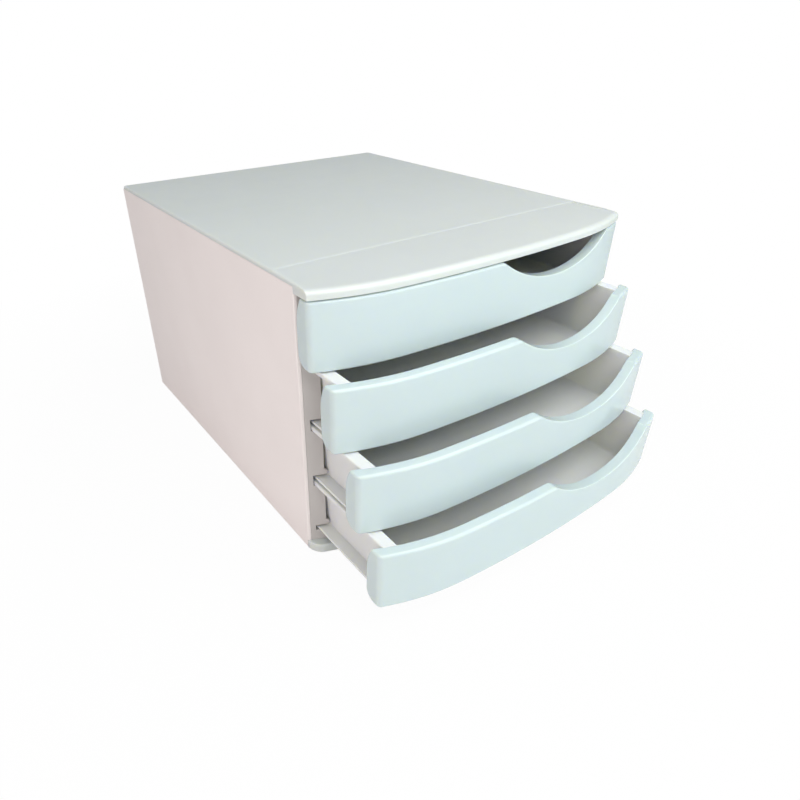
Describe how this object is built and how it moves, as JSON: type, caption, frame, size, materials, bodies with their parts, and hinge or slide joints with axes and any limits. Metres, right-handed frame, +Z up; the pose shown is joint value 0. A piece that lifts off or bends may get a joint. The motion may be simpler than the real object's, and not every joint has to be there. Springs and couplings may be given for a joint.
{
  "type": "desktop drawer box",
  "caption": "Desktop drawer box with a bowed front: hollow-fronted plastic drawers with crescent finger notches slide in side runners inside a flat-panelled casing.",
  "frame": {"origin": "on the desk under the middle of the casing, which is the base rim's middle seen from above; the rim's underside lies 1 mm above it", "axes": "+X to the right seen from the front, -Y out of the front, the way the drawers open, +Z up"},
  "size_m": [0.296, 0.4387, 0.22],
  "materials": {
    "cover_plastic": "glossy cool light grey",
    "panel_plastic": "satin warm light grey",
    "runner_plastic": "satin warm light grey",
    "tray_plastic": "glossy light grey",
    "front_plastic": "glossy, very pale blue-white",
    "foot_rubber": "matt dark grey",
    "screw_steel": "zinc plated"
  },
  "bodies": {
    "casing": {"top_panel": "cover_plastic", "base_panel": "cover_plastic", "left_side_panel": "panel_plastic", "right_side_panel": "panel_plastic", "back_panel": "panel_plastic", "left_runner_frame": "runner_plastic", "right_runner_frame": "runner_plastic", "casing_screws": "screw_steel", "front_left_foot": "foot_rubber", "front_right_foot": "foot_rubber", "rear_left_foot": "foot_rubber", "rear_right_foot": "foot_rubber"},
    "drawer_1": {"drawer_1_tray": "tray_plastic", "drawer_1_front": "front_plastic"},
    "drawer_2": {"drawer_2_tray": "tray_plastic", "drawer_2_front": "front_plastic"},
    "drawer_3": {"drawer_3_tray": "tray_plastic", "drawer_3_front": "front_plastic"},
    "drawer_4": {"drawer_4_tray": "tray_plastic", "drawer_4_front": "front_plastic"}
  },
  "joints": [
    {"name": "drawer_1_slide", "type": "slide", "parent": "casing", "child": "drawer_1", "axis": [0, -1, 0], "range_m": [0, 0.2495]},
    {"name": "drawer_2_slide", "type": "slide", "parent": "casing", "child": "drawer_2", "axis": [0, -1, 0], "range_m": [-0.0245, 0.225]},
    {"name": "drawer_3_slide", "type": "slide", "parent": "casing", "child": "drawer_3", "axis": [0, -1, 0], "range_m": [-0.0515, 0.198]},
    {"name": "drawer_4_slide", "type": "slide", "parent": "casing", "child": "drawer_4", "axis": [0, -1, 0], "range_m": [-0.0755, 0.174]}
  ]
}
